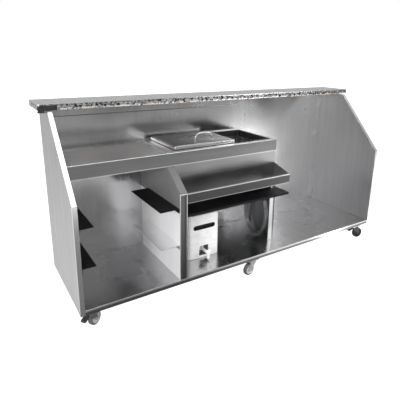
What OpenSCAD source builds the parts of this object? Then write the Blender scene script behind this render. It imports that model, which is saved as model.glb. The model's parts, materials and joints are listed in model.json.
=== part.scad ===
// Portable steel bar on casters, seen from the bartender's side (-Y).
// Frame: X along the bar, +Y towards the customer, +Z up, origin on the ground
// under the middle of the counter. All lengths in millimetres.

/* [Body] */
// Length over the outer faces of the two end panels
body_l = 2321; // [2200:1:2400]
// Depth from the bartender's edge to the customer's face
body_d = 612; // [590:1:640]
// Thickness of an end panel
panel_t = 23; // [18:1:28]
// Height of the end panels' lower edge above the ground
base_z = 112; // [110:1:116]
// Height of the floor pan's top
floor_z = 140; // [132:1:148]
// Height at which the end panels start to lean back
kink_z = 712; // [690:1:730]
// How far the end panels lean back at the counter
lean_d = 373; // [340:1:390]
// Thickness of the folded steel sheet
sheet = 1.5; // [1:0.5:2]

/* [Counter] */
// Length of the counter
counter_l = 2440; // [2400:1:2480]
// Depth of the counter
counter_d = 260; // [240:1:280]
// Thickness of the counter
counter_t = 35; // [30:1:40]
// Height of the counter's top above the ground
counter_z = 1151; // [1140:1:1165]
// Overhang of the counter past the left end panel
overhang_left = 38; // [30:1:60]
// Overhang of the counter past the customer's face
overhang_back = 72; // [60:1:80]

/* [Work deck] */
// Height of the deck's top
deck_z = 870; // [860:1:880]
// Depth of the apron along the deck's front edge
apron_h = 79; // [70:1:85]
// Set-back of the apron from the bartender's edge
apron_set = 156; // [150:1:160]
// Height of the splashback's top
splash_z = 1054; // [1000:1:1060]
// Depth of the drainer well below the deck
well_h = 32; // [28:1:36]

/* [Ice bin] */
// Height of the bin's outer floor
bin_z = 568; // [560:1:600]
// Thickness of the foam under the liner
foam_t = 30; // [25:1:35]
// Length of the sliding lid
lid_l = 440; // [400:1:460]
// Height of the lid's rim
lid_h = 20; // [16:1:22]

/* [Bottle storage] */
// Height of the speed rail's front lip
rail_z = 669; // [655:1:675]
// Height of the speed rail's front face
rail_h = 61; // [55:1:65]
// Height of the lower shelf's top
shelf_z = 541; // [530:1:550]
// Width of a partition
post_w = 49; // [40:1:52]

/* [Water jug] */
// Width of the jug
jug_w = 226; // [200:1:235]
// Depth of the jug
jug_d = 290; // [250:1:300]
// Height of the jug without its cap
jug_h = 300; // [280:1:320]

/* [Drain hose] */
// Outer diameter of the drain hose
hose_d = 16; // [14:1:18]
// Turns of hose on the hook
hose_turns = 2; // [1:1:2]

/* [Casters] */
// Wheel diameter
wheel_d = 80; // [75:1:82]
// Wheel width
wheel_w = 28; // [24:1:30]
// Height of the caster's plate above the ground
caster_h = 107; // [105:1:110]
// Distance from the swivel axis to the wheel's axle
trail = 30; // [26:1:32]

/* [Hidden] */
$fn = 48;

// The body's middle lies a little left of the counter's middle.
body_x = -counter_l / 2 + overhang_left + body_l / 2;
front_y = -(body_d + overhang_back) / 2;
back_y = front_y + body_d;
in_x = body_l / 2 - panel_t;
under_z = counter_z - counter_t;
counter_y = back_y + overhang_back - counter_d;
lean_y = front_y + lean_d;
fascia_t = 8;
wall_y = back_y - fascia_t - sheet;
chase_y = back_y - 66;
apron_y = front_y + apron_set;
gap = 0.5;
// Clear of the edge trims' inner flanges.
side_x = in_x - 1.2;

// Middle module: partitions, bin, rail and shelf share these sides.
post_l = -584;
mod_l = post_l + post_w;
mod_r = 243;
part_r = mod_r - 53;
part_front = front_y + 131;
shell_y0 = apron_y + 6;
shell_y1 = back_y - 20;
rail_back_y = shell_y0 - 2;
rail_r = mod_r - 6;
ledge_w = 76;
ledge_d = 420;

// Ice bin liner, outer faces.
lin_x0 = -500;
lin_x1 = 205;
lin_y0 = -136;
lin_y1 = 204;
lin_z = bin_z + sheet + foam_t;
strip_t = 4;
strip_h = 38;
flange_t = 2;
lid_x = -510;
lid_y0 = lin_y0 - 6;
lid_y1 = lin_y1 + 2;
lid_z = deck_z + flange_t + 0.4;
handle_x = -260;
handle_y = -60;
handle_r = 4.5;

// Drainer well in the deck.
well_x0 = -in_x + 12;
well_x1 = -552;
well_y0 = apron_y + 16;
well_y1 = 200;
waste_x = -834;

// Drain line, from the bin's floor to the hose.
drain_x = 110;
drain_y = 20;
barb_z = 470;

// Jug placement.
jug_x = -319;
jug_y = front_y + 166;
tap_z = 190;

// Hose route, centre line.
hank_y = -100;
hank_z = 330;
hank_a = 107;
hank_b = 167;
lane_0 = 148;
lane_p = hose_d + 0.5;
tail_x = lane_0 + hose_turns * lane_p;
tail_y = hank_y + hank_a;
nozzle_z = 240;
hose_pts = [[110, 20, 470], [110, 20, 455], [111, 20, 440], [114, 19, 425], [119, 17, 410],
            [126, 15, 395], [134, 12, 380], [141, 9, 365], [146, 7, 350], [148, 7, 338],
            [148, 7, 330]];
tail_pts = [for (z = [hank_z:-30:nozzle_z]) [tail_x, tail_y, z]];

// Casters: swivel axis and trail angle of each, front row then rear row.
caster_pos = [[-1100, front_y + 50, 35], [-25, front_y + 34, 190], [1028, front_y + 34, -12],
              [-1100, back_y - 60, -100], [-25, back_y - 60, -80], [1028, back_y - 60, -95]];
channel_y = [front_y + 43, back_y - 60];
channel_w = 76;
head_z = caster_h - 3.3;
leg_y = wheel_w / 2 + 2.5;
leg_t = 2.5;
pedal_s = -18;
pedal_z = 88;
bolt_x = 31;
bolt_y = 22;

// ---- helpers -------------------------------------------------------------

// Moves geometry drawn about the body's middle into the part's frame.
module place() translate([body_x, 0, 0]) children();

// Block between two corners.
module block(a, b) translate(a) cube(b - a);

// Prism along +X from x0, with its outline in (y, z).
module prism_x(x0, t, pts) translate([x0, 0, 0]) rotate([90, 0, 90]) linear_extrude(t) polygon(pts);

// Open-topped box of sheet t between two corners.
module tub(a, b, t) difference() {
    block(a, b);
    block([a.x + t, a.y + t, a.z + t], [b.x - t, b.y - t, b.z + 1]);
}

// Rectangle with round corners, centred.
module rrect(w, d, r) {
    square([w - 2 * r, d], center = true);
    square([w, d - 2 * r], center = true);
    for (sx = [-1, 1], sy = [-1, 1])
        translate([sx * (w / 2 - r), sy * (d / 2 - r)]) circle(r);
}

// Tube swept along points: rings of `sides` points, closed at both ends.
function unit(v) = v / norm(v);
function tangent(p, i) = unit(p[min(i + 1, len(p) - 1)] - p[max(i - 1, 0)]);
module sweep(p, r, sides) {
    n = len(p);
    rings = [for (i = [0:n - 1])
        let (t = tangent(p, i), u = unit(cross(t, [0, 1, 0])), v = cross(t, u))
        for (k = [0:sides - 1])
            p[i] + r * (cos(360 * k / sides) * u + sin(360 * k / sides) * v)];
    sides_f = [for (i = [0:n - 2], k = [0:sides - 1])
        let (a = i * sides + k, b = i * sides + (k + 1) % sides)
        [a, b, b + sides, a + sides]];
    caps = [[for (k = [sides - 1:-1:0]) k], [for (k = [0:sides - 1]) (n - 1) * sides + k]];
    polyhedron(points = rings, faces = concat(sides_f, caps), convexity = 6);
}

// ---- body ----------------------------------------------------------------

// Side outline of an end panel, pulled in by `inset` along the front.
function side_pts(inset) = [
    [front_y + inset, base_z], [back_y, base_z], [back_y, under_z],
    [lean_y + inset * 1.08, under_z], [front_y + inset, kink_z + inset * 0.35]];

// Folded sheet shell, open along its lower edge.
module end_panel(x0) difference() {
    prism_x(x0, panel_t, side_pts(sheet));
    prism_x(x0 + sheet, panel_t - 2 * sheet, [
        [front_y + 3 * sheet, base_z - 1], [back_y - sheet, base_z - 1],
        [back_y - sheet, under_z - sheet], [lean_y + 3 * sheet, under_z - sheet],
        [front_y + 3 * sheet, kink_z]]);
}

module left_end_panel() color("gainsboro") place() end_panel(-body_l / 2);

module right_end_panel() color("gainsboro") place() end_panel(in_x);

// Channel over a panel's front edge, following the kink.
module edge_trim(x0) difference() {
    prism_x(x0 - 1, panel_t + 2, [
        [front_y, base_z], [front_y + 12, base_z], [front_y + 12, kink_z - 4],
        [lean_y + 8, under_z - 5], [lean_y - 5, under_z - 5], [front_y, kink_z]]);
    prism_x(x0, panel_t, side_pts(sheet));
}

module left_edge_trim() color("white") place() edge_trim(-body_l / 2);

module right_edge_trim() color("white") place() edge_trim(in_x);

// Customer's face: a shallow tray of sheet, open towards the bar.
module customer_fascia() color("silver") place() difference() {
    block([-in_x, back_y - fascia_t, base_z], [in_x, back_y, under_z]);
    block([-in_x + sheet, back_y - fascia_t - 1, base_z + sheet],
          [in_x - sheet, back_y - sheet, under_z - sheet]);
}

module inner_back_wall() color("darkgray") place()
    block([-in_x, wall_y, floor_z], [in_x, wall_y + sheet, under_z]);

// Lining that boxes in the pipes behind the two left bays, lower under the bin.
module lower_back_panel() color("darkgray") place() union() {
    block([-in_x, chase_y, floor_z], [mod_l - 1, chase_y + sheet, deck_z - well_h - 6]);
    block([mod_l - 2, chase_y, floor_z], [part_r - gap, chase_y + sheet, bin_z - 2]);
}

// Floor pan with its rim turned down all round.
module floor_pan() color("gray") place() difference() {
    block([-side_x, front_y, base_z], [side_x, back_y - fascia_t, floor_z]);
    block([-side_x + 2, front_y + 2, base_z - 1], [side_x - 2, back_y - fascia_t - 2, floor_z - 2]);
}

// Two channels under the pan, above the caster rows.
module under_frame() color("dimgray") place()
    for (y = channel_y) translate([0, y, 0]) difference() {
        block([-in_x + 5, -channel_w / 2, caster_h], [in_x - 5, channel_w / 2, floor_z - 2]);
        block([-in_x + 3, -channel_w / 2 + 3, caster_h + 3],
              [in_x - 3, channel_w / 2 - 3, floor_z - 1]);
    }

// ---- counter -------------------------------------------------------------

module counter_core() color("burlywood")
    block([-counter_l / 2 + sheet, counter_y + sheet, under_z],
          [counter_l / 2 - sheet, counter_y + counter_d - sheet, counter_z - sheet]);

// Sheet cover folded down over the core's four edges.
module counter_top() color("lightgray") difference() {
    block([-counter_l / 2, counter_y, under_z], [counter_l / 2, counter_y + counter_d, counter_z]);
    block([-counter_l / 2 + sheet, counter_y + sheet, under_z - 1],
          [counter_l / 2 - sheet, counter_y + counter_d - sheet, counter_z - sheet]);
}

// Black guard on the counter's left front corner.
module counter_corner_guard() color("black") union() {
    end_x = -counter_l / 2;
    block([end_x, counter_y - 3, under_z - 12], [end_x + 34, counter_y, counter_z - 9]);
    block([end_x, counter_y - 3, under_z + 0.5], [end_x + 100, counter_y, counter_z - 9]);
    block([end_x, counter_y - 3, under_z - 12], [end_x + 34, counter_y + 30, under_z - 9]);
}

// ---- work deck -----------------------------------------------------------

// Deck sheet with the drainer and bin cut-outs, and an apron along its front.
module work_deck() color("silver") place() difference() {
    union() {
        block([-side_x, apron_y, deck_z - sheet], [mod_r, wall_y - 2, deck_z]);
        block([-side_x, apron_y, deck_z - apron_h], [mod_r, apron_y + sheet, deck_z]);
        block([-side_x, apron_y, deck_z - apron_h], [mod_r, apron_y + 5, deck_z - apron_h + sheet]);
    }
    block([well_x0, well_y0, deck_z - 5], [well_x1, well_y1, deck_z + 5]);
    block([lin_x0 - 2, lin_y0 - 2, deck_z - 5], [lin_x1 + 2, lin_y1 + 2, deck_z + 5]);
}

// Upstand behind the deck, with a hemmed top edge.
module backsplash() color("silver") place() union() {
    block([-in_x, wall_y - 12, deck_z + 0.2], [mod_r, wall_y - 12 + sheet, splash_z]);
    block([-in_x, wall_y - 12, splash_z - sheet], [mod_r, wall_y - 0.2, splash_z]);
}

module drainer_well() color("silver") place() difference() {
    tub([well_x0 + 0.2, well_y0 + 0.2, deck_z - well_h], [well_x1 - 0.2, well_y1 - 0.2, deck_z], sheet);
    translate([waste_x, 0, deck_z - well_h - 1]) cylinder(r = 16, h = 5);
}

// Removable drain plate with a finger hole and folded feet.
module drainer_insert() color("darkgray") place() difference() {
    union() {
        block([well_x0 + 4, well_y0 + 4, deck_z - 5.5], [well_x1 - 4, well_y1 - 4, deck_z - 4]);
        for (y = [well_y0 + 4, well_y1 - 4 - sheet])
            block([well_x0 + 4, y, deck_z - well_h + 2], [well_x1 - 4, y + sheet, deck_z - 4]);
    }
    translate([waste_x, -60, deck_z - 8]) cylinder(r = 13, h = 6);
}

// Strainer flange and tail pipe under the drainer well.
module drainer_waste() color("gray") place() translate([waste_x, 0, deck_z - well_h]) difference() {
    union() {
        translate([0, 0, -40]) cylinder(r = 13, h = 40 + sheet);
        translate([0, 0, sheet]) cylinder(r = 22, h = 1.5);
        translate([0, 0, -8]) cylinder(r = 22, h = 7.8);
    }
    translate([0, 0, -41]) cylinder(r = 10.5, h = 50);
}

// ---- ice bin -------------------------------------------------------------

module bin_shell() color("gray") place() difference() {
    tub([mod_l + gap, shell_y0, bin_z], [mod_r, shell_y1, deck_z - sheet - 0.2], sheet);
    translate([drain_x, drain_y, bin_z - 1]) cylinder(r = 15, h = 5);
}

module bin_insulation() color("khaki") place() difference() {
    block([mod_l + gap + sheet, shell_y0 + sheet, bin_z + sheet],
          [mod_r - sheet, shell_y1 - sheet, deck_z - 12]);
    block([lin_x0, lin_y0, lin_z], [lin_x1, lin_y1, deck_z]);
    translate([drain_x, drain_y, bin_z]) cylinder(r = 15, h = foam_t + 4);
}

// Inner tub, which reaches up to the deck's underside.
module bin_liner() color("lightgray") place() difference() {
    tub([lin_x0, lin_y0, lin_z], [lin_x1, lin_y1, deck_z - sheet - 0.1], sheet);
    translate([drain_x, drain_y, lin_z - 1]) cylinder(r = 15, h = 5);
}

// Black collar round the bin's mouth, with a flange on the deck.
module bin_breaker_strip() color("black") place() difference() {
    union() {
        block([lin_x0 + sheet, lin_y0 + sheet, deck_z - strip_h],
              [lin_x1 - sheet, lin_y1 - sheet, deck_z + flange_t]);
        block([lin_x0 - 14, lin_y0 - 14, deck_z], [lin_x1 + 14, lin_y1 + 14, deck_z + flange_t]);
    }
    block([lin_x0 + sheet + strip_t, lin_y0 + sheet + strip_t, deck_z - strip_h - 1],
          [lin_x1 - sheet - strip_t, lin_y1 - sheet - strip_t, deck_z + 9]);
}

// Flanged outlet through the bin's floor, with its nut below.
module bin_drain() color("gray") place() translate([drain_x, drain_y, 0]) difference() {
    union() {
        translate([0, 0, bin_z - 26]) cylinder(r = 14, h = foam_t + 26 + 3 * sheet);
        translate([0, 0, lin_z + sheet]) cylinder(r = 24, h = 1.8);
        translate([0, 0, bin_z - 10]) cylinder(r = 22, h = 9.8, $fn = 6);
    }
    translate([0, 0, bin_z - 27]) cylinder(r = 9.5, h = foam_t + 40);
}

// Ball valve body: sockets, belly, stem and hose barb in one casting.
module drain_valve() color("goldenrod") place() translate([drain_x, drain_y, 0]) union() {
    difference() {
        translate([0, 0, bin_z - 40]) cylinder(r = 18, h = 26);
        translate([0, 0, bin_z - 26.2]) cylinder(r = 14, h = 20);
    }
    translate([0, 0, bin_z - 58]) sphere(r = 21);
    translate([0, 0, barb_z]) cylinder(r = 6, h = bin_z - 58 - barb_z);
    translate([0, 0, barb_z + 10]) cylinder(r1 = 6, r2 = 9, h = 12, $fn = 48);
    translate([0, 0, bin_z - 58]) rotate([90, 0, 0]) cylinder(r = 5, h = 32);
}

// Quarter-turn lever on the valve's stem, facing the bartender.
module valve_lever() color("red") place() translate([drain_x, drain_y, bin_z - 58]) difference() {
    union() {
        translate([0, -25, 0]) rotate([90, 0, 0]) cylinder(r = 11, h = 5);
        block([-7, -30, -62], [7, -27.5, 0]);
    }
    translate([0, -24, 0]) rotate([90, 0, 0]) cylinder(r = 5.05, h = 12);
}

// Lid: a shallow pan upside down.
module bin_lid() color("silver") place() difference() {
    block([lid_x, lid_y0, lid_z], [lid_x + lid_l, lid_y1, lid_z + lid_h]);
    block([lid_x + sheet, lid_y0 + sheet, lid_z - 1],
          [lid_x + lid_l - sheet, lid_y1 - sheet, lid_z + lid_h - sheet]);
}

// Bent rod handle with a washer plate under each foot.
module lid_handle() color("white") place() translate([handle_x, handle_y, lid_z + lid_h]) union() {
    bend = 42;
    reach = 65;
    foot = 6;
    for (s = [-1, 1]) {
        translate([s * reach, 0, 0]) cylinder(r = handle_r, h = foot);
        translate([s * reach, 0, 0]) cylinder(r = 9, h = 1.5);
        translate([s * (reach - bend), 0, foot]) rotate([90, 0, 0]) rotate([0, 0, s > 0 ? 0 : 90])
            rotate_extrude(angle = 90) translate([bend, 0]) circle(handle_r);
    }
    translate([-(reach - bend), 0, foot + bend]) rotate([0, 90, 0])
        cylinder(r = handle_r, h = 2 * (reach - bend));
}

// ---- partitions and bottle storage -----------------------------------------

// Hollow wall of folded sheet, with a recess between two hems at its front.
module wall_box(x0, w, pts, recess) difference() {
    prism_x(x0, w, pts);
    prism_x(x0 + sheet, w - 2 * sheet, recess);
}

module left_partition() color("gray") place() difference() {
    wall_box(post_l, post_w,
        [[front_y, floor_z], [chase_y - gap, floor_z], [chase_y - gap, deck_z - apron_h - gap],
         [apron_y, deck_z - apron_h - gap], [front_y, rail_z + 4]],
        [[front_y + 10, floor_z - 1], [chase_y, floor_z - 1], [chase_y, deck_z - apron_h - 8],
         [apron_y + 6, deck_z - apron_h - 8], [front_y + 10, rail_z - 4]]);
    block([post_l + 6, front_y - 1, floor_z + 4], [mod_l - 6, front_y + 8, rail_z - 6]);
}

module right_partition() color("gray") place() difference() {
    wall_box(part_r, mod_r - part_r,
        [[part_front, floor_z], [wall_y - gap, floor_z],
         [wall_y - gap, bin_z - gap], [part_front, bin_z - gap]],
        [[part_front + 10, floor_z - 1], [wall_y, floor_z - 1], [wall_y, bin_z - 8],
         [part_front + 10, bin_z - 8]]);
    block([part_r + 6, part_front - 1, floor_z + 4], [mod_r - 6, part_front + 8, bin_z - 6]);
}

// Bottle trough folded from one sheet, with hemmed front and rear edges.
module speed_rail() color("gray") place()
    prism_x(mod_l + 2, rail_r - mod_l - 2, [
        [front_y, rail_z - rail_h], [rail_back_y, rail_z - rail_h], [rail_back_y, rail_z + 43],
        [rail_back_y - sheet, rail_z + 43], [rail_back_y - sheet, rail_z - rail_h + sheet],
        [front_y + sheet, rail_z - rail_h + sheet], [front_y + sheet, rail_z - 7],
        [front_y + 4, rail_z - 7], [front_y + 4, rail_z], [front_y, rail_z]]);

// Closing plates at the trough's two ends, rising towards the bin.
module rail_end_plates() color("lightgray") place()
    for (x = [mod_l + 2.2, rail_r - sheet - 0.2])
        prism_x(x, sheet, [
            [front_y + 4.2, rail_z - rail_h + sheet + 0.2],
            [rail_back_y - sheet - 0.2, rail_z - rail_h + sheet + 0.2],
            [rail_back_y - sheet - 0.2, rail_z + 42], [front_y + 4.2, rail_z - 1]]);

// Black shelf under the rail, notched round the right partition.
module lower_shelf() color("black") place() difference() {
    block([mod_l + gap, front_y, shelf_z - 15], [mod_r - 3, front_y + 212, shelf_z]);
    block([mod_l, front_y + 2, shelf_z - 16], [mod_r - 5, front_y + 213, shelf_z - 2]);
    block([part_r - 2, part_front - 2, shelf_z - 20], [mod_r + 1, front_y + 220, shelf_z + 1]);
}

// Rack ledge: a flat runner with a fixing leg against its wall.
module ledge(x0, x1, wall_side, z, depth) union() {
    block([x0, front_y + 4, z - 3], [x1, front_y + 4 + depth, z]);
    leg_x = wall_side > 0 ? x1 - 3 : x0;
    block([leg_x, front_y + 4, z - 28], [leg_x + 3, front_y + 4 + depth, z]);
}

module left_upper_ledge() color("black") place() ledge(-side_x, -in_x + ledge_w, -1, 590, ledge_d);

module left_lower_ledge() color("dimgray") place() ledge(-side_x, -in_x + ledge_w, -1, 376, ledge_d);

module partition_upper_ledge() color("black") place()
    ledge(post_l - 119, post_l - 0.3, 1, 586, ledge_d);

module partition_lower_ledge() color("lightgray") place()
    ledge(post_l - 119, post_l - 0.3, 1, 363, ledge_d);

// ---- water jug -------------------------------------------------------------

// Full jug: moulded body with a grip slot and a recess for the tap.
module water_jug() color("white") place() difference() {
    translate([jug_x, jug_y + jug_d / 2, floor_z + 0.3]) union() {
        linear_extrude(jug_h) rrect(jug_w, jug_d, 22);
        translate([0, -60, jug_h - 1]) cylinder(r = 27, h = 9);
    }
    translate([jug_x, jug_y - 1, 355]) rotate([-90, 0, 0]) linear_extrude(29) {
        square([130, 30], center = true);
        for (s = [-1, 1]) translate([s * 65, 0]) circle(15);
    }
    block([jug_x - 36, jug_y - 1, tap_z - 34], [jug_x + 32, jug_y + 45, tap_z + 34]);
    translate([jug_x, jug_y + 40, tap_z]) rotate([-90, 0, 0]) cylinder(r = 13.5, h = 40);
}

module jug_cap() color("white") place()
    translate([jug_x, jug_y + jug_d / 2 - 60, floor_z + 0.3 + jug_h + 0.3]) difference() {
        cylinder(r = 34, h = 20);
        translate([0, 0, -1]) cylinder(r = 29, h = 12);
        for (a = [0:15:359]) rotate(a) translate([35.2, 0, -1]) cylinder(r = 2.2, h = 22, $fn = 16);
    }

// Tap: threaded tail in the jug, barrel and down spout.
module jug_tap() color("white") place() translate([jug_x, jug_y, tap_z]) union() {
    translate([0, 45.2, 0]) rotate([-90, 0, 0]) cylinder(r = 13, h = 30);
    translate([0, 39, 0]) rotate([-90, 0, 0]) cylinder(r = 19, h = 6);
    translate([0, -56, 0]) rotate([-90, 0, 0]) cylinder(r = 10, h = 97);
    translate([0, -50, -36]) cylinder(r1 = 9, r2 = 11, h = 30, $fn = 48);
    translate([0, -50, -8]) cylinder(r = 13, h = 20);
    translate([0, -50, 0]) cylinder(r = 4, h = 24);
}

// Turning key on top of the tap.
module tap_lever() color("white") place() translate([jug_x, jug_y - 50, tap_z]) difference() {
    union() {
        translate([0, 0, 12.4]) cylinder(r = 9, h = 8);
        translate([0, 0, 16]) linear_extrude(6) rrect(52, 13, 6);
    }
    translate([0, 0, 10]) cylinder(r = 4.05, h = 20);
}

// ---- drain hose --------------------------------------------------------------

// Run from the valve to the hanging turns, and the straight tail after them.
module hose_tube() color("gainsboro") place() {
    sweep(hose_pts, hose_d / 2, 10);
    sweep(tail_pts, hose_d / 2, 10);
}

// Points of an oval with half-axes a and b.
function oval(a, b) = [for (i = [0:47]) [a * cos(7.5 * i), b * sin(7.5 * i)]];

// Outer shape of the hanging turns: an oval ring as wide as its lanes.
module hose_hank() color("gainsboro") place()
    translate([lane_0 - hose_d / 2, hank_y, hank_z]) rotate([90, 0, 90])
        linear_extrude(hose_turns * lane_p + hose_d) difference() {
            polygon(oval(hank_a + hose_d / 2, hank_b + hose_d / 2));
            polygon(oval(hank_a - hose_d / 2, hank_b - hose_d / 2));
        }

// Screwed end of the hose, hanging beside the last turn.
module hose_nozzle() color("dimgray") place()
    translate([tail_x, tail_y, 0]) difference() {
        union() {
            translate([0, 0, nozzle_z - 30]) cylinder(r = 8.8, h = 30);
            translate([0, 0, nozzle_z - 44]) cylinder(r = 6.5, h = 16);
        }
        translate([0, 0, nozzle_z - 45]) cylinder(r = 5, h = 30);
    }

// Peg and back plate that carry the hose.
module hose_hook() color("gray") place() union() {
    peg_z = hank_z + hank_b - hose_d / 2 - 6.2;
    block([part_r - 3.2, hank_y - 22, peg_z - 60], [part_r - 0.2, hank_y + 22, peg_z - 3]);
    translate([lane_0 - 20, hank_y, peg_z]) rotate([0, 90, 0])
        cylinder(r = 6, h = part_r - lane_0 + 19.8);
    translate([lane_0 - 20, hank_y, peg_z]) sphere(r = 9);
}

// ---- casters -----------------------------------------------------------------

module at_caster(i) place() translate([caster_pos[i].x, caster_pos[i].y, 0]) children();

module on_fork(i) at_caster(i) rotate(caster_pos[i].z) children();

// Top plates, each with the king pin that its fork turns on.
module caster_plates() color("silver")
    for (i = [0:5]) at_caster(i) union() {
        difference() {
            translate([0, 0, caster_h - 3]) linear_extrude(3) rrect(82, 62, 8);
            for (sx = [-1, 1], sy = [-1, 1])
                translate([sx * bolt_x, sy * bolt_y, caster_h - 4]) cylinder(r = 4.2, h = 5);
        }
        translate([0, 0, head_z - 12]) cylinder(r = 6, h = 13);
    }

module caster_bolts() color("dimgray")
    for (i = [0:5], sx = [-1, 1], sy = [-1, 1])
        at_caster(i) translate([sx * bolt_x, sy * bolt_y, 0]) union() {
        translate([0, 0, caster_h - 8]) cylinder(r = 6.5, h = 4.8, $fn = 6);
        translate([0, 0, caster_h - 4]) cylinder(r = 4, h = 4);
    }

// Fork: swivel head, bridge and two tapering legs, with the axle bolt between them.
module caster_fork(i) on_fork(i) {
    difference() {
        union() {
            translate([0, 0, head_z - 8]) cylinder(r = 27, h = 8);
            block([-26, -leg_y - leg_t / 2, head_z - 11], [26, leg_y + leg_t / 2, head_z - 7]);
            for (s = [-1, 1])
                translate([0, s * leg_y + leg_t / 2, 0]) rotate([90, 0, 0]) linear_extrude(leg_t) {
                    polygon([[-26, head_z - 8], [-26, 82], [trail - 11, wheel_d / 2],
                             [trail + 11, wheel_d / 2], [26, head_z - 8]]);
                    translate([trail, wheel_d / 2]) circle(11);
                }
        }
        translate([0, 0, head_z - 14]) cylinder(r = 6.05, h = 20);
        translate([trail, 40, wheel_d / 2]) rotate([90, 0, 0]) cylinder(r = 4.05, h = 80);
        translate([pedal_s, 40, pedal_z]) rotate([90, 0, 0]) cylinder(r = 3.05, h = 80);
    }
    translate([trail, leg_y + leg_t / 2 + 5, wheel_d / 2]) rotate([90, 0, 0])
        cylinder(r = 4, h = 2 * leg_y + leg_t + 10);
    for (y = [leg_y + leg_t / 2 + 4.2, -leg_y - leg_t / 2 - 0.2])
        translate([trail, y, wheel_d / 2]) rotate([90, 0, 0]) cylinder(r = 7, h = 4, $fn = 6);
}

// Wheel: hub with a recessed web, and a tyre round it.
module caster_wheel(i) on_fork(i) translate([trail, 0, wheel_d / 2]) rotate([90, 0, 0]) {
    difference() {
        cylinder(r = wheel_d / 2 - 9, h = wheel_w - 2, center = true);
        cylinder(r = 4.06, h = wheel_w, center = true);
        for (s = [-1, 1]) translate([0, 0, s * (wheel_w / 2 - 3)]) difference() {
            cylinder(r = wheel_d / 2 - 13, h = 5, center = true);
            cylinder(r = 11, h = 6, center = true);
        }
    }
    rotate_extrude($fn = 96) polygon([
        [wheel_d / 2 - 9, -wheel_w / 2 + 1], [wheel_d / 2 - 3, -wheel_w / 2],
        [wheel_d / 2, -wheel_w / 2 + 5], [wheel_d / 2, wheel_w / 2 - 5],
        [wheel_d / 2 - 3, wheel_w / 2], [wheel_d / 2 - 9, wheel_w / 2 - 1]]);
}

// Foot pedal pivoted between the fork's legs.
module brake_pedal(i) on_fork(i) union() {
    translate([pedal_s, leg_y - leg_t / 2 + 1, pedal_z]) rotate([90, 0, 0])
        cylinder(r = 3, h = 2 * leg_y - leg_t + 2);
    translate([pedal_s, 0, pedal_z]) rotate([0, 25, 180]) union() {
        block([-2, -12, -2], [16, 12, 2]);
        translate([31, 0, -2]) linear_extrude(4) rrect(34, 34, 8);
    }
}

module caster_fork_1() color("silver") caster_fork(0);
module caster_fork_2() color("silver") caster_fork(1);
module caster_fork_3() color("black") caster_fork(2);
module caster_fork_4() color("silver") caster_fork(3);
module caster_fork_5() color("silver") caster_fork(4);
module caster_fork_6() color("silver") caster_fork(5);
module caster_wheel_1() color("gray") caster_wheel(0);
module caster_wheel_2() color("gray") caster_wheel(1);
module caster_wheel_3() color("black") caster_wheel(2);
module caster_wheel_4() color("gray") caster_wheel(3);
module caster_wheel_5() color("gray") caster_wheel(4);
module caster_wheel_6() color("gray") caster_wheel(5);
module brake_pedal_1() color("black") brake_pedal(0);
module brake_pedal_3() color("black") brake_pedal(2);

left_end_panel();
right_end_panel();
left_edge_trim();
right_edge_trim();
customer_fascia();
inner_back_wall();
lower_back_panel();
floor_pan();
under_frame();
counter_core();
counter_top();
counter_corner_guard();
work_deck();
backsplash();
drainer_well();
drainer_insert();
drainer_waste();
bin_shell();
bin_insulation();
bin_liner();
bin_breaker_strip();
bin_drain();
drain_valve();
valve_lever();
bin_lid();
lid_handle();
left_partition();
right_partition();
speed_rail();
rail_end_plates();
lower_shelf();
left_upper_ledge();
left_lower_ledge();
partition_upper_ledge();
partition_lower_ledge();
water_jug();
jug_cap();
jug_tap();
tap_lever();
hose_tube();
hose_hank();
hose_nozzle();
hose_hook();
caster_plates();
caster_bolts();
caster_fork_1();
caster_fork_2();
caster_fork_3();
caster_fork_4();
caster_fork_5();
caster_fork_6();
caster_wheel_1();
caster_wheel_2();
caster_wheel_3();
caster_wheel_4();
caster_wheel_5();
caster_wheel_6();
brake_pedal_1();
brake_pedal_3();
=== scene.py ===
"""Looks, light and camera for a portable steel bar on casters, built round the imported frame.

Lengths are in metres in the part's own frame: X along the bar, +Y towards the customer, +Z up.
"""

import json
import logging
import math
from dataclasses import dataclass, field
from enum import Enum
from typing import Any, Callable, Sequence

import bmesh
import bpy
from mathutils import Matrix, Vector

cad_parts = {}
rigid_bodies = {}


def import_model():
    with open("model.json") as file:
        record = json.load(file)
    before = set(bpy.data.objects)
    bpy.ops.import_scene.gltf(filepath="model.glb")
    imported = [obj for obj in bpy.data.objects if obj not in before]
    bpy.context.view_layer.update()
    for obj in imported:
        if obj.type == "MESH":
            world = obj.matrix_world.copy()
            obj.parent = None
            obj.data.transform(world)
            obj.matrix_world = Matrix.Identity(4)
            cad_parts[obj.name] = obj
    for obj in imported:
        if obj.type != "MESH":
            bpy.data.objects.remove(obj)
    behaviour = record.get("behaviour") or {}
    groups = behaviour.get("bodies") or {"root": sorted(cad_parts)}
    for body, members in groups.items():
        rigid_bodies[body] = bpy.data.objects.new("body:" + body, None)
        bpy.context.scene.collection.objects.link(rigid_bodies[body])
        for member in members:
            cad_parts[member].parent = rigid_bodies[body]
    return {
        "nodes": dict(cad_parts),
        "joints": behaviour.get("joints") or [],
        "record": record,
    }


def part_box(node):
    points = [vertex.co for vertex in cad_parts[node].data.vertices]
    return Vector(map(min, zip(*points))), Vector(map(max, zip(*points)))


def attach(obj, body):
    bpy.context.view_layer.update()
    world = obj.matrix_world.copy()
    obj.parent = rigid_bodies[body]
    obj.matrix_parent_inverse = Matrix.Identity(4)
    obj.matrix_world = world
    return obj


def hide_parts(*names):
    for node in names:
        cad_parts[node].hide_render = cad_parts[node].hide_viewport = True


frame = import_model()
LOG = logging.getLogger("portable_bar")

RECORD = frame["record"]
BODY_OF = {n: body for body, nodes in RECORD["behaviour"]["bodies"].items() for n in nodes}
JOINTS = {joint["name"]: joint for joint in frame["joints"]}

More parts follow.
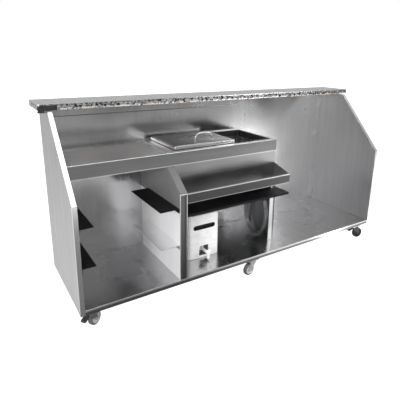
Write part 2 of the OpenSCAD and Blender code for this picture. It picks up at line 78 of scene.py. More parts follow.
Tone = tuple[float, float, float]
Socket = bpy.types.NodeSocket


# ---- wiring -------------------------------------------------------------------


class Wiring:
    """Adds nodes to a tree and joins them, taking plain values and sockets alike."""

    def __init__(self, tree: bpy.types.NodeTree) -> None:
        """Starts on a tree.

        Args:
            tree: The node tree to add to.
        """
        self.tree = tree

    def add(self, kind: str, inputs: dict[Any, Any] | None = None, **settings: Any) -> bpy.types.Node:
        """Adds one node.

        Args:
            kind: The node's type name.
            inputs: Values or sockets by input name or index.
            **settings: The node's own properties.

        Returns:
            The new node.
        """
        node = self.tree.nodes.new(kind)
        for key, value in settings.items():
            setattr(node, key, value)
        for key, value in (inputs or {}).items():
            if isinstance(value, Socket):
                self.tree.links.new(value, node.inputs[key])
            else:
                node.inputs[key].default_value = value
        return node

    def math(self, operation: str, a: Any, b: Any = 0.0) -> Socket:
        """Returns the result of one scalar sum."""
        return self.add("ShaderNodeMath", {0: a, 1: b}, operation=operation).outputs[0]

    def vector(self, operation: str, a: Any, b: Any = (0.0, 0.0, 0.0)) -> Socket:
        """Returns the result of one vector sum."""
        return self.add("ShaderNodeVectorMath", {0: a, 1: b}, operation=operation).outputs[0]

    def scaled(self, a: Any, factor: Any) -> Socket:
        """Returns a vector times a number."""
        return self.add("ShaderNodeVectorMath", {0: a, "Scale": factor}, operation="SCALE").outputs[0]

    def remap(self, value: Socket, span: tuple[float, float], to: tuple[float, float]) -> Socket:
        """Carries a value from one span to another, clamped.

        Args:
            value: The value to carry over.
            span: Its lowest and highest value.
            to: What those two become.

        Returns:
            The new value.
        """
        return self.add("ShaderNodeMapRange", {
            "Value": value, "From Min": span[0], "From Max": span[1],
            "To Min": to[0], "To Max": to[1]}).outputs[0]


class Recipe(Wiring):
    """A material under construction, with its pattern on Object coordinates."""

    def __init__(self, name: str) -> None:
        """Makes the material.

        Args:
            name: The material's name.
        """
        self.material = bpy.data.materials.new(name)
        self.material.use_nodes = True
        super().__init__(self.material.node_tree)
        self.shader = self.tree.nodes["Principled BSDF"]
        self.place = self.add("ShaderNodeTexCoord").outputs["Object"]

    def grain(self, stretch: Sequence[float], detail: float = 2.0) -> Socket:
        """Returns noise with the given number of cycles a metre along X, Y and Z."""
        mapped = self.add("ShaderNodeMapping", {"Vector": self.place, "Scale": tuple(stretch)})
        return self.add("ShaderNodeTexNoise", {
            "Vector": mapped.outputs["Vector"], "Scale": 1.0, "Detail": detail}).outputs[0]

    def blend(self, factor: Socket, low: Tone, high: Tone) -> Socket:
        """Returns a colour that goes from low to high with the factor."""
        mix = self.add("ShaderNodeMix", {0: factor}, data_type="RGBA")
        mix.inputs[6].default_value = (*low, 1.0)
        mix.inputs[7].default_value = (*high, 1.0)
        return mix.outputs[2]

    def bump(self, height: Socket, depth: float, strength: float = 1.0) -> Socket:
        """Returns a normal that rises and falls by depth metres with the height."""
        return self.add("ShaderNodeBump", {
            "Height": height, "Distance": depth, "Strength": strength}).outputs["Normal"]

    def dress(self, **links: Any) -> bpy.types.Material:
        """Sets or joins the shader's sockets.

        Args:
            **links: Values or sockets by input name, with _ for a space.

        Returns:
            The finished material.
        """
        for key, value in links.items():
            socket = self.shader.inputs[key.replace("_", " ")]
            if isinstance(value, Socket):
                self.tree.links.new(value, socket)
            else:
                socket.default_value = value
        return self.material


# ---- finishes -------------------------------------------------------------------


class Grain(Enum):
    """The way a sheet was brushed, as cycles of scratch a metre along X, Y and Z."""

    ALONG_BAR = (4.0, 520.0, 520.0)
    FRONT_TO_BACK = (520.0, 4.0, 520.0)
    UPRIGHT = (520.0, 520.0, 4.0)
    EVEN = (260.0, 260.0, 260.0)


def tinted(tone: float, tint: Tone, factor: float) -> Tone:
    """Returns a tint at a tone times a factor, with each part at most 1."""
    return tuple(min(1.0, tone * part * factor) for part in tint)


@dataclass(frozen=True)
class Finish:
    """A surface finish, made into a material once."""

    name: str

    def material(self) -> bpy.types.Material:
        """Returns the finish's material, made at the first call."""
        return bpy.data.materials.get(self.name) or self.make()

    def make(self) -> bpy.types.Material:
        """Returns a new material; each kind of finish has its own."""
        raise NotImplementedError


@dataclass(frozen=True)
class BrushedMetal(Finish):
    """Brushed or mill-finished metal, with scratches, soft clouds and scuffs, and level bands of painted
    light and shade.
    """

    tone: float = 0.6
    roughness: float = 0.3
    grain: Grain = Grain.UPRIGHT
    tint: Tone = (1.0, 1.0, 1.01)
    streak: float = 0.10
    cloud: float = 0.08
    scratch_depth: float = 0.00002
    # Bands of painted light and shade, each its lowest height, highest height and factor on the colour.
    bands: tuple[tuple[float, float, float], ...] = ()
    metallic: float = 1.0

    def banded(self, recipe: Recipe, colour: Socket) -> Socket:
        """Lightens or darkens level bands of a colour, as painted light and shade.

        Args:
            recipe: The material under construction.
            colour: The colour to change.

        Returns:
            The colour, times each band's factor between its lower and upper height.
        """
        height = recipe.add("ShaderNodeSeparateXYZ", {0: recipe.place}).outputs["Z"]
        for low, high, factor in self.bands:
            inside = recipe.math("MULTIPLY", recipe.math("GREATER_THAN", height, low),
                                 recipe.math("LESS_THAN", height, high))
            colour = recipe.scaled(colour, recipe.remap(inside, (0.0, 1.0), (1.0, factor)))
        return colour

    def make(self) -> bpy.types.Material:
        """Returns the brushed material."""
        recipe = Recipe(self.name)
        fine = recipe.grain(self.grain.value, 3.0)
        broad = recipe.grain([max(1.5, cycles * 0.06) for cycles in self.grain.value], 2.0)
        smudge = recipe.grain((3.1, 3.1, 3.1), 4.0)
        spread = recipe.math("ADD", recipe.math("MULTIPLY", fine, self.streak),
                             recipe.math("MULTIPLY", broad, self.streak))
        spread = recipe.math("ADD", spread, recipe.math("MULTIPLY", smudge, self.cloud))
        total = 2 * self.streak + self.cloud
        factor = recipe.remap(spread, (0.25 * total, 0.75 * total), (0.0, 1.0))
        low = tinted(self.tone, self.tint, 1 - total / 2)
        high = tinted(self.tone, self.tint, 1 + total / 2)
        wear = recipe.remap(smudge, (0.35, 0.7), (self.roughness - 0.04, self.roughness + 0.07))
        rough = recipe.math("ADD", wear, recipe.math("MULTIPLY", fine, 0.05))
        return recipe.dress(
            Base_Color=self.banded(recipe, recipe.blend(factor, low, high)), Metallic=self.metallic,
            Roughness=rough, Normal=recipe.bump(fine, self.scratch_depth))


@dataclass(frozen=True)
class HammeredMetal(Finish):
    """Hammered bright sheet, dented in its bump: painted light makes it pale on top, and painted reflections
    of its facets mottle its edges dark and bright.
    """

    top_z: float = 1.15
    tone: float = 0.86
    reflection_dark: float = 0.05
    facets: float = 46.0

    def make(self) -> bpy.types.Material:
        """Returns the hammered material."""
        recipe = Recipe(self.name)
        cells = recipe.add("ShaderNodeTexVoronoi", {"Vector": recipe.place, "Scale": self.facets})
        # Painted reflection: dark and bright facets painted down the edges. Painted light: the pale top.
        fleck = recipe.grain((70.0, 70.0, 90.0), 3.0)
        facet_reflection = recipe.math("ADD", fleck, recipe.math("MULTIPLY", cells.outputs["Distance"], 0.35))
        facet_reflection = recipe.remap(facet_reflection, (0.52, 0.76), (0.0, 1.0))
        height = recipe.add("ShaderNodeSeparateXYZ", {0: recipe.place}).outputs["Z"]
        top_light = recipe.remap(height, (self.top_z - 0.006, self.top_z - 0.003), (0.0, 0.92))
        factor = recipe.math("MAXIMUM", facet_reflection, top_light)
        colour = recipe.blend(factor, (self.reflection_dark,) * 3, (self.tone, self.tone, self.tone * 1.01))
        return recipe.dress(
            Base_Color=colour, Metallic=1.0,
            Roughness=recipe.remap(fleck, (0.3, 0.7), (0.2, 0.34)),
            Normal=recipe.bump(cells.outputs["Distance"], 0.0008, 0.5))


@dataclass(frozen=True)
class Coating(Finish):
    """Powder coat, paint or plating: a fine orange-peel skin with a speckle."""

    colour: Tone = (0.02, 0.02, 0.022)
    metallic: float = 0.0
    roughness: float = 0.35
    speckle: float = 0.2
    peel: float = 0.00004
    shine: float = 0.5

    def make(self) -> bpy.types.Material:
        """Returns the coated material."""
        recipe = Recipe(self.name)
        skin = recipe.grain((420.0,) * 3, 2.0)
        cloud = recipe.grain((9.0,) * 3, 3.0)
        factor = recipe.remap(recipe.math("ADD", skin, cloud), (0.7, 1.3), (0.0, 1.0))
        low = tuple(part * (1 - self.speckle) for part in self.colour)
        high = tuple(min(1.0, part * (1 + self.speckle) + 0.004) for part in self.colour)
        return recipe.dress(
            Base_Color=recipe.blend(factor, low, high), Metallic=self.metallic,
            Roughness=recipe.remap(cloud, (0.3, 0.7), (self.roughness - 0.05, self.roughness + 0.08)),
            Normal=recipe.bump(skin, self.peel), Specular_IOR_Level=self.shine)


@dataclass(frozen=True)
class Plastic(Finish):
    """Moulded plastic or vinyl with a faint mould grain and a few scuffs."""

    colour: Tone = (0.9, 0.9, 0.9)
    roughness: float = 0.4
    through: float = 0.0
    glow: float = 0.0

    def make(self) -> bpy.types.Material:
        """Returns the plastic material."""
        recipe = Recipe(self.name)
        mould = recipe.grain((300.0,) * 3, 2.0)
        scuff = recipe.grain((26.0, 26.0, 60.0), 5.0)
        factor = recipe.remap(scuff, (0.35, 0.6), (0.0, 1.0))
        low = tuple(part * 0.9 for part in self.colour)
        return recipe.dress(
            Base_Color=recipe.blend(factor, low, self.colour),
            Roughness=recipe.remap(scuff, (0.3, 0.7), (self.roughness + 0.08, self.roughness - 0.05)),
            Normal=recipe.bump(mould, 0.00005), Transmission_Weight=self.through,
            Subsurface_Weight=self.glow, Subsurface_Radius=(0.01, 0.01, 0.01))


@dataclass(frozen=True)
class Rubber(Finish):
    """Matt rubber with dust in its grain."""

    colour: Tone = (0.025, 0.025, 0.025)
    dust: Tone = (0.09, 0.09, 0.088)

    def make(self) -> bpy.types.Material:
        """Returns the rubber material."""
        recipe = Recipe(self.name)
        grit = recipe.grain((340.0,) * 3, 3.0)
        dusting = recipe.grain((22.0,) * 3, 4.0)
        factor = recipe.math("MULTIPLY", recipe.remap(dusting, (0.45, 0.75), (0.0, 1.0)),
                             recipe.remap(grit, (0.4, 0.7), (0.2, 1.0)))
        return recipe.dress(
            Base_Color=recipe.blend(factor, self.colour, self.dust),
            Roughness=recipe.remap(grit, (0.3, 0.7), (0.55, 0.8)), Normal=recipe.bump(grit, 0.00008))


@dataclass(frozen=True)
class Plywood(Finish):
    """Raw plywood, with grain along the bar and plies at its edges."""

    light: Tone = (0.66, 0.50, 0.33)
    deep: Tone = (0.36, 0.23, 0.13)

    def make(self) -> bpy.types.Material:
        """Returns the wood material."""
        recipe = Recipe(self.name)
        figure = recipe.grain((1.3, 26.0, 190.0), 5.0)
        pore = recipe.grain((14.0, 420.0, 420.0), 2.0)
        factor = recipe.math("ADD", recipe.math("MULTIPLY", figure, 0.7), recipe.math("MULTIPLY", pore, 0.3))
        return recipe.dress(
            Base_Color=recipe.blend(recipe.remap(factor, (0.3, 0.65), (0.0, 1.0)), self.deep, self.light),
            Roughness=recipe.remap(pore, (0.3, 0.7), (0.55, 0.75)), Normal=recipe.bump(pore, 0.0001))


PANEL = BrushedMetal("panel_brushed", tone=0.74, roughness=0.34, grain=Grain.UPRIGHT)
# Polished edge trims, and painted highlights on the deck's nosing, the drain plate's and lid's rims and one
# ledge.
POLISH_AND_HIGHLIGHT = BrushedMetal("edge_polished_and_painted_highlight", tone=0.92, roughness=0.2, grain=Grain.UPRIGHT, streak=0.03, cloud=0.03)
LINING = BrushedMetal("lining_mill", tone=0.62, roughness=0.2, grain=Grain.UPRIGHT)
# Painted shade: the band above 0.566 m darkens the partition's satin face to a fifth, under the deck.
SATIN_WITH_SHADE = BrushedMetal("partition_satin_painted_shade", tone=0.92, roughness=0.45, grain=Grain.UPRIGHT, streak=0.04,
                     cloud=0.04, metallic=0.15, bands=((0.566, 1.0, 0.2),))
# Painted shade: a dark tone for the partition's slanted front face, which the top light would make bright.
SLOPE_SHADE = BrushedMetal("partition_slope_painted_shade", tone=0.16, roughness=0.35, grain=Grain.UPRIGHT)
# Painted shade: a dark copy of brushed steel for the bin shell under the apron, the speed rail and the left
# panel's inner face.
SHADED_STEEL = BrushedMetal("steel_painted_shade", tone=0.33, roughness=0.3, grain=Grain.ALONG_BAR)
FLOOR = BrushedMetal("floor_mill", tone=0.6, roughness=0.22, grain=Grain.FRONT_TO_BACK, cloud=0.05)
# Painted highlight on the pan's front rim, with painted shade below 0.129 m.
FLOOR_RIM_LIT = BrushedMetal("floor_rim_painted_highlight_and_shade", tone=0.85, roughness=0.3, grain=Grain.ALONG_BAR,
                         bands=((0.0, 0.129, 0.3),))
DECK = BrushedMetal("deck_brushed", tone=0.6, roughness=0.27, grain=Grain.ALONG_BAR)
# Painted shade: the deck's front faces are dark, lifted back to about the deck's tone below 0.7965 m.
APRON_SHADE = BrushedMetal("apron_painted_shade", tone=0.22, roughness=0.3, grain=Grain.ALONG_BAR, streak=0.16,
                     bands=((0.0, 0.7965, 2.8),))
# Painted shade on the speed rail's front between 0.612 m and 0.662 m; the bands lift its hem and lower edge
# back to a steel tone.
RAIL_SHADE = BrushedMetal("rail_painted_shade", tone=0.08, roughness=0.3, grain=Grain.ALONG_BAR, streak=0.2,
                    bands=((0.0, 0.612, 6.0), (0.662, 0.7, 7.0)))
LID = BrushedMetal("lid_brushed", tone=0.32, roughness=0.28, grain=Grain.ALONG_BAR)
GROOVE = BrushedMetal("groove_shaded", tone=0.2, roughness=0.4, grain=Grain.UPRIGHT)
DRAINER = BrushedMetal("drainer_satin", tone=0.94, roughness=0.34, grain=Grain.ALONG_BAR)
LINER = BrushedMetal("liner_bright", tone=0.78, roughness=0.22, grain=Grain.UPRIGHT)
ROD = BrushedMetal("rod_polished", tone=0.95, roughness=0.12, grain=Grain.ALONG_BAR, streak=0.02, cloud=0.02)
ZINC = BrushedMetal("zinc_plate", tone=0.7, roughness=0.3, grain=Grain.EVEN, cloud=0.22)
BRASS = BrushedMetal("valve_brass", tone=0.72, roughness=0.36, grain=Grain.EVEN, tint=(1.0, 0.8, 0.46))
BLACK_COAT = Coating("shelf_black_coat", colour=(0.005, 0.005, 0.006), roughness=0.4, shine=0.1)
# Black coat on the brake pedals; on one caster's fork it is painted shade.
PEDAL_BLACK_AND_FORK_SHADE = Coating("pedal_black_and_fork_painted_shade", colour=(0.028, 0.028, 0.03), roughness=0.3)
RUBBER = Rubber("strip_rubber", colour=(0.012, 0.012, 0.012), dust=(0.03, 0.03, 0.03))
GREY_TYRE = Rubber("tyre_grey", colour=(0.10, 0.10, 0.102), dust=(0.2, 0.2, 0.198))
# Painted shade: one caster's tyre is black where the others are grey.
SHADED_TYRE = Rubber("tyre_painted_shade", colour=(0.012, 0.012, 0.012), dust=(0.03, 0.03, 0.03))
HUB = Plastic("wheel_centre", colour=(0.55, 0.55, 0.56), roughness=0.4)
FOAM = Plastic("foam_board", colour=(0.80, 0.72, 0.46), roughness=0.7)
JUG = Plastic("jug_white", colour=(0.93, 0.93, 0.93), roughness=0.34, glow=0.12)
# Painted shade in the jug's grip slot and round its tap.
SHADE = Plastic("grip_recess_painted_shade", colour=(0.012, 0.012, 0.012), roughness=0.7)
TAP_RECESS_SHADE = Plastic("tap_recess_painted_shade", colour=(0.12, 0.12, 0.12), roughness=0.6)
NYLON = Plastic("nozzle_nylon", colour=(0.07, 0.07, 0.075), roughness=0.42)
GRIP = Plastic("lever_grip", colour=(0.42, 0.03, 0.025), roughness=0.36)
VINYL = Plastic("hose_vinyl", colour=(0.34, 0.35, 0.36), roughness=0.08, through=0.85)
PLY = Plywood("core_plywood")


# ---- mesh tools -------------------------------------------------------------------


def as_object(name: str, mesh: bpy.types.Mesh) -> bpy.types.Object:
    """Returns a mesh as an object in the scene, at the origin."""
    piece = bpy.data.objects.new(name, mesh)
    bpy.context.scene.collection.objects.link(piece)
    return piece


def from_bmesh(name: str, bm: bmesh.types.BMesh) -> bpy.types.Object:
    """Returns a bmesh as an object, and frees it."""
    mesh = bpy.data.meshes.new(name)
    bm.to_mesh(mesh)
    bm.free()
    return as_object(name, mesh)


def smooth(mesh: bpy.types.Mesh, angle_deg: float = 35.0) -> None:
    """Shades a mesh smooth, with a crease where faces meet at more than the angle."""
    mesh.shade_smooth()
    mesh.set_sharp_from_angle(angle=math.radians(angle_deg))


def baked(piece: bpy.types.Object, name: str) -> bpy.types.Object:
    """Turns an object and its modifiers into a plain mesh.

    Args:
        piece: The object, which is removed.
        name: The new object's name.

    Returns:
        The plain object.
    """
    graph = bpy.context.evaluated_depsgraph_get()
    mesh = bpy.data.meshes.new_from_object(
        piece.evaluated_get(graph), preserve_all_data_layers=True, depsgraph=graph)
    mesh.name = name
    bpy.data.objects.remove(piece)
    return as_object(name, mesh)


def node_mesh(node: str) -> bmesh.types.BMesh:
    """Returns a merged copy of a CAD node, its flat faces joined up."""
    bm = bmesh.new()
    bm.from_mesh(frame["nodes"][node].data)
    bmesh.ops.remove_doubles(bm, verts=bm.verts, dist=1e-5)
    bmesh.ops.dissolve_limit(bm, angle_limit=math.radians(0.8), verts=bm.verts, edges=bm.edges)
    return bm


def levelled(piece: bpy.types.Object, name: str) -> bpy.types.Object:
    """Makes the broad faces of a smooth-shaded piece shade flat up to their rounds.

    Args:
        piece: The piece, which is removed.
        name: The new object's name.

    Returns:
        The same shape with its normals weighted by face area.
    """
    weigher = piece.modifiers.new("level", "WEIGHTED_NORMAL")
    weigher.keep_sharp = True
    weigher.weight = 100
    return baked(piece, name)


def strip_width(face: bmesh.types.BMFace) -> float:
    """Returns about how wide a face is across its longest edge."""
    return face.calc_area() / max(edge.calc_length() for edge in face.edges)


def softened(node: str, fold: float, cut: float = 0.0004, segments: int = 3) -> bpy.types.Object:
    """Copies a CAD node with its folds rounded and its cut edges broken.

    Args:
        node: The CAD node.
        fold: Radius of a fold between two broad faces.
        cut: Radius along the edge of a thin sheet.
        segments: Steps in each round.

    Returns:
        The rounded piece.
    """
    bm = node_mesh(node)
    weight = bm.edges.layers.float.new("bevel_weight_edge")
    for edge in bm.edges:
        if len(edge.link_faces) != 2 or not edge.is_convex:
            continue
        if edge.calc_face_angle(0.0) < math.radians(24):
            continue
        narrow = min(strip_width(face) for face in edge.link_faces)
        wanted = fold if narrow > 3 * fold else min(cut, 0.3 * narrow)
        edge[weight] = min(1.0, wanted / fold)
    piece = from_bmesh(node + "_raw", bm)
    rounder = piece.modifiers.new("round", "BEVEL")
    rounder.width = fold
    rounder.segments = segments
    rounder.limit_method = "WEIGHT"
    piece = baked(piece, node + "_raw")
    smooth(piece.data)
    return levelled(piece, node + "_finished")


def rounded_ring(x0: float, y0: float, x1: float, y1: float, z: float, radius: float,
                 steps: int = 6) -> list[Vector]:
    """Returns the points of a rectangle with round corners at one height."""
    radius = max(radius, 1e-4)
    centres = [(x1 - radius, y1 - radius), (x0 + radius, y1 - radius),
               (x0 + radius, y0 + radius), (x1 - radius, y0 + radius)]
    return [Vector((cx + radius * math.cos(a), cy + radius * math.sin(a), z))
            for corner, (cx, cy) in enumerate(centres)
            for a in (math.radians(90 * (corner + k / steps)) for k in range(steps + 1))]


def inset_ring(low: Vector, high: Vector, inset: float, z: float, radius: float) -> list[Vector]:
    """Returns a rounded ring set in from a box's four sides."""
    return rounded_ring(low.x + inset, low.y + inset, high.x - inset, high.y - inset, z, radius)


def absorb(bm: bmesh.types.BMesh, piece: bpy.types.Object) -> None:
    """Adds a piece's mesh to a bmesh and removes the piece."""
    bm.from_mesh(piece.data)
    bpy.data.objects.remove(piece)


def loft(name: str, rings: Sequence[Sequence[Vector]], start: bool = True, end: bool = True,
         loop: bool = False) -> bpy.types.Object:
    """Skins a row of rings that have the same number of points.

    Args:
        name: The object's name.
        rings: The rings in order.
        start: Whether the first ring is closed with a face.
        end: Whether the last ring is closed with a face.
        loop: Whether the last ring joins the first.

    Returns:
        The skinned object, its faces pointing outwards.
    """
    bm = bmesh.new()
    made = [[bm.verts.new(p) for p in ring] for ring in rings]
    for a, b in zip(made, made[1:] + ([made[0]] if loop else [])):
        for i in range(len(a)):
            bm.faces.new((a[i], a[i - 1], b[i - 1], b[i]))
    if start and not loop:
        bm.faces.new(made[0])
    if end and not loop:
        bm.faces.new(list(reversed(made[-1])))
    bmesh.ops.recalc_face_normals(bm, faces=bm.faces)
    piece = from_bmesh(name, bm)
    smooth(piece.data)
    return piece


def turned(name: str, profile: Sequence[tuple[float, float]], centre: Vector, axis: Vector,
           steps: int = 48) -> bpy.types.Object:
    """Turns a closed profile about an axis.

    Args:
        name: The object's name.
        profile: Points of (radius, place along the axis), all off the axis.
        centre: The point on the axis where the place is nought.
        axis: The axis' direction.
        steps: Number of flats round the axis.

    Returns:
        The turned object.
    """
    turn = axis.to_track_quat("Z", "Y").to_matrix()
    rings = [[centre + turn @ Vector((r * math.cos(a), r * math.sin(a), s))
              for a in (2 * math.pi * k / steps for k in range(steps))] for r, s in profile]
    return loft(name, rings, loop=True)


def tube(name: str, points: Sequence[Vector], radius: float, sides: int = 4) -> bpy.types.Object:
    """Returns one open curve with a round section along the points."""
    data = bpy.data.curves.new(name, "CURVE")
    data.dimensions = "3D"
    data.bevel_depth = radius
    data.bevel_resolution = sides
    data.use_fill_caps = True
    data.resolution_u = 4
    spline = data.splines.new("NURBS")
    spline.points.add(len(points) - 1)
    for point, place in zip(spline.points, points):
        point.co = (*place, 1.0)
    spline.order_u = 4
    spline.use_endpoint_u = True
    return as_object(name, data)


# ---- geometry trees -------------------------------------------------------------------


class ShapeTree(Wiring):
    """A Geometry Nodes tree under construction, with named inputs."""

    def __init__(self, name: str) -> None:
        """Makes the tree with its geometry sockets.

        Args:
            name: The tree's name.
        """
        super().__init__(bpy.data.node_groups.new(name, "GeometryNodeTree"))
        self.tree.interface.new_socket("Geometry", in_out="INPUT", socket_type="NodeSocketGeometry")
        self.tree.interface.new_socket("Geometry", in_out="OUTPUT", socket_type="NodeSocketGeometry")
        self.source = self.add("NodeGroupInput")
        self.ids: dict[str, str] = {}

    def param(self, name: str, kind: str = "Float") -> Socket:
        """Adds a named input and returns its socket inside the tree."""
        made = self.tree.interface.new_socket(name, in_out="INPUT", socket_type="NodeSocket" + kind)
        self.ids[name] = made.identifier
        return self.source.outputs[name]

    def close(self, shape: Socket) -> None:
        """Ends the tree by making instances real and giving the material."""
        real = self.add("GeometryNodeRealizeInstances", {0: shape})
        painted = self.add("GeometryNodeSetMaterial", {
            "Geometry": real.outputs[0], "Material": self.param("Material", "Material")})
        self.add("NodeGroupOutput", {0: painted.outputs[0]})

    def run(self, source: bpy.types.Object, name: str, **values: Any) -> bpy.types.Object:
        """Runs the tree on an object.

        Args:
            source: The object it starts from, which is removed.
            name: The result's name.
            **values: Input values by name, with _ for a space.

        Returns:
            The result as a plain mesh object.
        """
        modifier = source.modifiers.new("shape", "NODES")
        modifier.node_group = self.tree
        for key, value in values.items():
            modifier[self.ids[key.replace("_", " ")]] = value
        return baked(source, name)


def perforation_tree() -> ShapeTree:
    """Returns a tree that fills a rectangle with a cell object in staggered rows."""
    made = ShapeTree("staggered_perforation")
    size_x, size_y = made.param("Length"), made.param("Width")
    step_x, step_y = made.param("Pitch"), made.param("Row step")
    centre, cell = made.param("Centre", "Vector"), made.param("Cell", "Object")
    grid = made.add("GeometryNodeMeshGrid", {
        "Size X": size_x, "Size Y": size_y,
        "Vertices X": made.math("ADD", made.math("DIVIDE", size_x, step_x), 1.0),
        "Vertices Y": made.math("ADD", made.math("DIVIDE", size_y, step_y), 1.0)})
    place = made.add("GeometryNodeInputPosition").outputs[0]
    y = made.add("ShaderNodeSeparateXYZ", {0: place}).outputs["Y"]
    from_front = made.math("ADD", y, made.math("DIVIDE", size_y, 2.0))
    row = made.math("ROUND", made.math("DIVIDE", from_front, step_y))
    odd = made.math("MODULO", row, 2.0)
    half_step = made.math("DIVIDE", step_x, 2.0)
    shift = made.add("ShaderNodeCombineXYZ", {"X": made.math("MULTIPLY", odd, half_step)})
    moved = made.add("GeometryNodeSetPosition", {
        "Geometry": grid.outputs[0], "Offset": made.vector("ADD", centre, shift.outputs[0])})
    shape = made.add("GeometryNodeObjectInfo", {"Object": cell}).outputs["Geometry"]
    cells = made.add("GeometryNodeInstanceOnPoints", {"Points": moved.outputs[0], "Instance": shape})
    solid = made.add("GeometryNodeRealizeInstances", {0: cells.outputs[0]})
    merged = made.add("GeometryNodeMergeByDistance", {"Geometry": solid.outputs[0], "Distance": 0.00002})
    made.close(merged.outputs[0])
    return made


def fastener_tree() -> ShapeTree:
    """Returns a tree that sets a domed head on each point, facing its own way."""
    made = ShapeTree("fastener_heads")
    radius, height = made.param("Head radius"), made.param("Head height")
    facing = made.add("GeometryNodeInputNamedAttribute", {"Name": "facing"}, data_type="FLOAT_VECTOR")
    turn = made.add("FunctionNodeAlignRotationToVector", {"Vector": facing.outputs[0]}, axis="Z")
    dome = made.add("GeometryNodeMeshUVSphere", {"Segments": 12, "Rings": 6, "Radius": 1.0})
    scale = made.add("ShaderNodeCombineXYZ", {"X": radius, "Y": radius, "Z": height})
    heads = made.add("GeometryNodeInstanceOnPoints", {
        "Points": made.source.outputs["Geometry"], "Instance": dome.outputs[0],
        "Rotation": turn.outputs[0], "Scale": scale.outputs[0]})
    made.close(heads.outputs[0])
    return made


def hammered_tree() -> ShapeTree:
    """Returns a tree that makes a box without its underside, its faces beaten inwards."""
    made = ShapeTree("hammered_cover")
    size, centre = made.param("Size", "Vector"), made.param("Centre", "Vector")
    step, edge = made.param("Step"), made.param("Edge radius")
    depth, facets = made.param("Depth"), made.param("Facets")
    parts = made.add("ShaderNodeSeparateXYZ", {0: size})
    counts = {f"Vertices {a}": made.math("ADD", made.math("DIVIDE", parts.outputs[a], step), 2.0)
              for a in "XYZ"}
    box = made.add("GeometryNodeMeshCube", {"Size": size, **counts})
    normal = made.add("GeometryNodeInputNormal").outputs[0]
    down = made.math("LESS_THAN", made.add("ShaderNodeSeparateXYZ", {0: normal}).outputs["Z"], -0.9)
    open_box = made.add("GeometryNodeDeleteGeometry", {
        "Geometry": box.outputs[0], "Selection": down}, domain="FACE")
    place = made.add("GeometryNodeInputPosition").outputs[0]
    inner = made.vector("SUBTRACT", made.scaled(size, 0.5), made.vector("MULTIPLY", (1.0, 1.0, 1.0),
                        made.add("ShaderNodeCombineXYZ", {"X": edge, "Y": edge, "Z": edge}).outputs[0]))
    low = made.scaled(inner, -1.0)
    core = made.vector("MINIMUM", made.vector("MAXIMUM", place, low), inner)
    out = made.scaled(made.vector("NORMALIZE", made.vector("SUBTRACT", place, core)), edge)
    rounded = made.add("GeometryNodeSetPosition", {
        "Geometry": open_box.outputs[0], "Position": made.vector("ADD", core, out)})
    cells = made.add("ShaderNodeTexVoronoi", {"Scale": facets, "Smoothness": 0.5}, feature="SMOOTH_F1")
    dent = made.math("MULTIPLY", made.math("SUBTRACT", cells.outputs["Distance"], 0.75), depth)
    beaten = made.add("GeometryNodeSetPosition", {
        "Geometry": rounded.outputs[0], "Offset": made.scaled(normal, made.math("MINIMUM", dent, 0.0))})
    moved = made.add("GeometryNodeTransform", {"Geometry": beaten.outputs[0], "Translation": centre})
    made.close(moved.outputs[0])
    return made


# ---- assemblies -------------------------------------------------------------------


@dataclass
class Assembly:
    """A group of pieces that are made and dressed together."""

    fold: float = 0.0022

    def stand_for(self, piece: bpy.types.Object, finish: Finish, node: str, *more: str) -> bpy.types.Object:
        """Dresses a piece and puts it in a CAD node's place.

        Args:
            piece: The finished piece.
            finish: Its surface finish.
            node: The CAD node whose body it takes.
            *more: Other CAD nodes that it stands for too.

        Returns:
            The piece.
        """
        piece.data.materials.clear()
        piece.data.materials.append(finish.material())
        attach(piece, BODY_OF[node])
        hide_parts(node, *more)
        LOG.info("%s stands for %s", piece.name, ", ".join((node, *more)))
        return piece

    def soften(self, node: str, finish: Finish, fold: float | None = None,
               cut: float = 0.0004) -> bpy.types.Object:
        """Puts a rounded copy of a CAD node in its place and returns it."""
        return self.stand_for(softened(node, fold or self.fold, cut), finish, node)

    def accent(self, piece: bpy.types.Object, finish: Finish,
               chosen: Callable[[bpy.types.MeshPolygon], bool]) -> None:
        """Gives the chosen faces of a dressed piece a finish of their own.

        Args:
            piece: The dressed piece.
            finish: The second finish.
            chosen: Tells whether a face takes it.
        """
        index = len(piece.data.materials)
        piece.data.materials.append(finish.material())
        for face in piece.data.polygons:
            if chosen(face):
                face.material_index = index

    def repaint(self, node: str, finish: Finish) -> None:
        """Gives a CAD node that shows as it is a better finish."""
        mesh = frame["nodes"][node].data
        mesh.materials.clear()
        mesh.materials.append(finish.material())
        LOG.info("%s repainted", node)


@dataclass
class Fasteners(Assembly):
    """Domed rivet heads on the bar, gathered into one piece."""

    radius: float = 0.0042
    height: float = 0.0018
    places: list[tuple[Vector, Vector]] = field(default_factory=list)

    def row(self, a: Vector, b: Vector, count: int, facing: Vector) -> None:
        """Adds a row of heads from a to b, both included."""
        self.places += [(a.lerp(b, k / max(1, count - 1)), facing) for k in range(count)]

    def build(self) -> None:
        """Turns the gathered places into one mesh of heads."""
        mesh = bpy.data.meshes.new("rivet_points")
        mesh.from_pydata([place for place, _ in self.places], [], [])
        facing = mesh.attributes.new("facing", "FLOAT_VECTOR", "POINT")
        facing.data.foreach_set("vector", [part for _, way in self.places for part in way])
        heads = fastener_tree().run(
            as_object("rivet_points", mesh), "rivet_heads", Head_radius=self.radius,
            Head_height=self.height, Material=ZINC.material())
        smooth(heads.data, 60.0)
        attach(heads, "bar")
        LOG.info("rivet_heads: %d heads", len(self.places))


